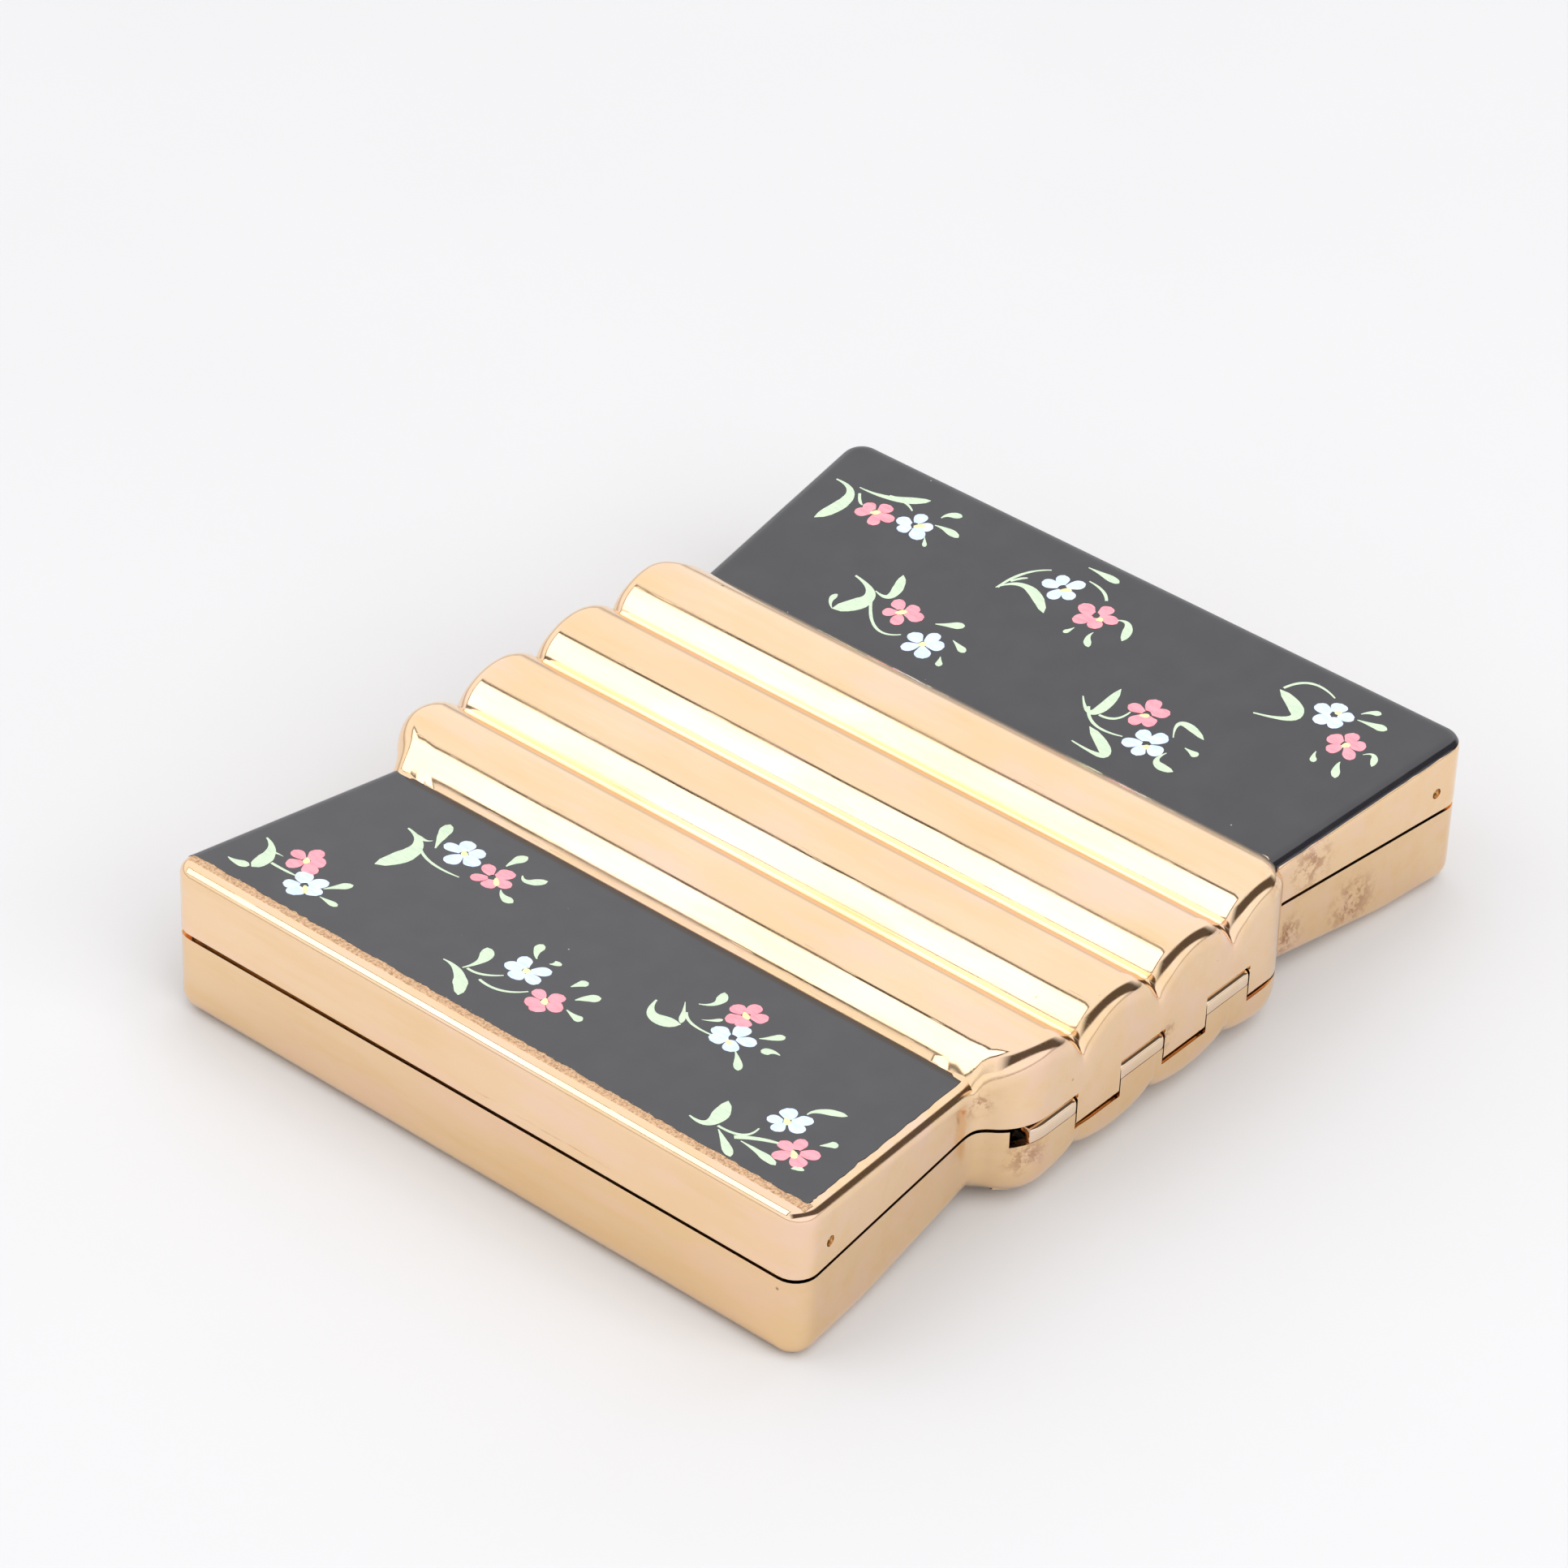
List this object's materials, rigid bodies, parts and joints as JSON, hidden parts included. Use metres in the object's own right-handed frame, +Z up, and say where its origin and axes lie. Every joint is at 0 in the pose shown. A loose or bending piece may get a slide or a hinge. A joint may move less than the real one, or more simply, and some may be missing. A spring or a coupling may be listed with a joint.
{
  "type": "powder compact",
  "caption": "Bow-shaped powder compact: ribbed gold-tone band between black enamelled wings with painted flowers, hinged mirror lid, powder well with its own door, puff and push-button catch.",
  "frame": {"origin": "on the table, under the middle of the closed case's bounding box", "axes": "+X across the bow from wing to wing, +Y along the ribs towards the hinge, +Z up out of the lid"},
  "size_m": [0.076, 0.0604, 0.0136],
  "materials": {
    "gold_case": "polished gold-tone brass, worn, fine scratches and brown tarnish",
    "gold_fittings": "satin gold-tone brass",
    "steel_pins": "dull drawn wire",
    "spring_steel": "spring steel strip",
    "black_enamel": "glossy black enamel with hand-painted flowers",
    "mirror_glass": "silvered glass",
    "backing_card": "plain card",
    "powder": "pressed face powder, matt",
    "puff_velour": "cotton velour pile",
    "puff_ribbon": "satin ribbon"
  },
  "bodies": {
    "base": {"base_shell": "gold_case", "base_hinge_leaf": "gold_fittings", "hinge_pin": "steel_pins", "inner_frame": "gold_fittings", "powder_pan": "gold_fittings", "powder_cake": "powder", "door_catch": "gold_fittings", "door_hinge_pin": "steel_pins", "catch_spring": "spring_steel"},
    "lid": {"lid_shell": "gold_case", "enamel_panel_right": "black_enamel", "enamel_panel_left": "black_enamel", "mirror_frame": "gold_fittings", "mirror_glass": "mirror_glass", "mirror_backing": "backing_card", "lid_keeper": "gold_fittings"},
    "powder_door": {"powder_door": "gold_fittings", "puff_pad": "puff_velour", "puff_ribbon": "puff_ribbon"},
    "catch": {"push_button": "gold_case", "catch_plate": "gold_fittings"}
  },
  "joints": [
    {"name": "lid_hinge", "type": "hinge", "parent": "base", "child": "lid", "pos_m": [0, 0.02893, 0.0056], "axis": [-1, 0, 0], "range_deg": [0, 100]},
    {"name": "powder_door_hinge", "type": "hinge", "parent": "base", "child": "powder_door", "pos_m": [0, 0.0229, 0.00645], "axis": [-1, 0, 0], "range_deg": [0, 80]},
    {"name": "push_button", "type": "slide", "parent": "base", "child": "catch", "axis": [0, 1, 0], "range_m": [0, 0.0005], "stiffness_N_per_m": 800, "springref_m": -0.0005}
  ],
  "couplings": [
    {"joint": "powder_door_hinge", "follows": "lid_hinge", "ratio": 0.8}
  ]
}
